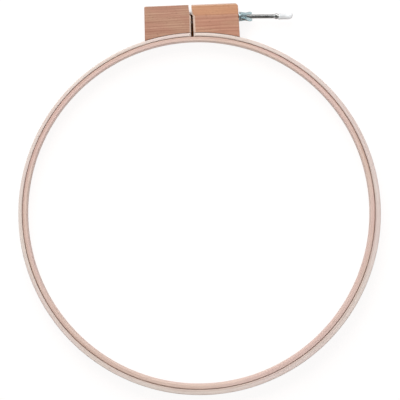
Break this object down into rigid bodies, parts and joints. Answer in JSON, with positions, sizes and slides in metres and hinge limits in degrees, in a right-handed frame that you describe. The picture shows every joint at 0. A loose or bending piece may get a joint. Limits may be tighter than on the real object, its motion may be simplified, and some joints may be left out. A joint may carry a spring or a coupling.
{
  "type": "embroidery hoop",
  "caption": "Large round wooden embroidery hoop: an inner ring nests in a split outer ring, which a long carriage bolt and wing nut draw tight through wooden blocks.",
  "frame": {"origin": "under the centre of the outline, in the plane that the hoop lies on", "axes": "+Z along the hoop's axis, +Y towards the clamp blocks, +X from the bolt's head towards the wing nut"},
  "size_m": [0.3656, 0.3937, 0.0222],
  "materials": {
    "ring_wood": "smooth sanded pale wood, bare",
    "block_wood": "sawn and sanded reddish wood, bare",
    "bolt_steel": "dull plated steel thread",
    "zinc_plate": "bright bluish zinc plating",
    "white_plastic": "soft white plastic"
  },
  "bodies": {
    "fixed_side": {"outer_ring_left": "ring_wood", "block_left": "block_wood", "brad_left_1": "bolt_steel", "brad_left_2": "bolt_steel", "carriage_bolt": "bolt_steel", "end_cap": "white_plastic"},
    "opening_side": {"outer_ring_right": "ring_wood", "block_right": "block_wood", "brad_right_1": "bolt_steel", "brad_right_2": "bolt_steel"},
    "washer": {"washer": "zinc_plate"},
    "wing_nut": {"wing_nut": "zinc_plate"},
    "inner_ring": {"inner_ring": "ring_wood"}
  },
  "joints": [
    {"name": "nut_travel", "type": "slide", "parent": "fixed_side", "child": "washer", "axis": [0.9994, -0.0349, 0], "range_m": [0, 0.02218]},
    {"name": "nut_spin", "type": "hinge", "parent": "washer", "child": "wing_nut", "pos_m": [0, 0.18545, 0.0111], "axis": [0.9994, -0.0349, 0], "range_deg": [0, 7543]},
    {"name": "ring_open", "type": "hinge", "parent": "fixed_side", "child": "opening_side", "pos_m": [0, -0.19685, 0.0111], "axis": [0, 0, -1], "range_deg": [0, 3.33]},
    {"name": "inner_ring_lift", "type": "slide", "parent": "fixed_side", "child": "inner_ring", "axis": [0, 0, 1], "range_m": [0, 0.03]}
  ],
  "couplings": [
    {"joint": "nut_travel", "follows": "ring_open", "m_per_rad": 0.38207},
    {"joint": "nut_spin", "follows": "ring_open", "ratio": 2268.3}
  ]
}
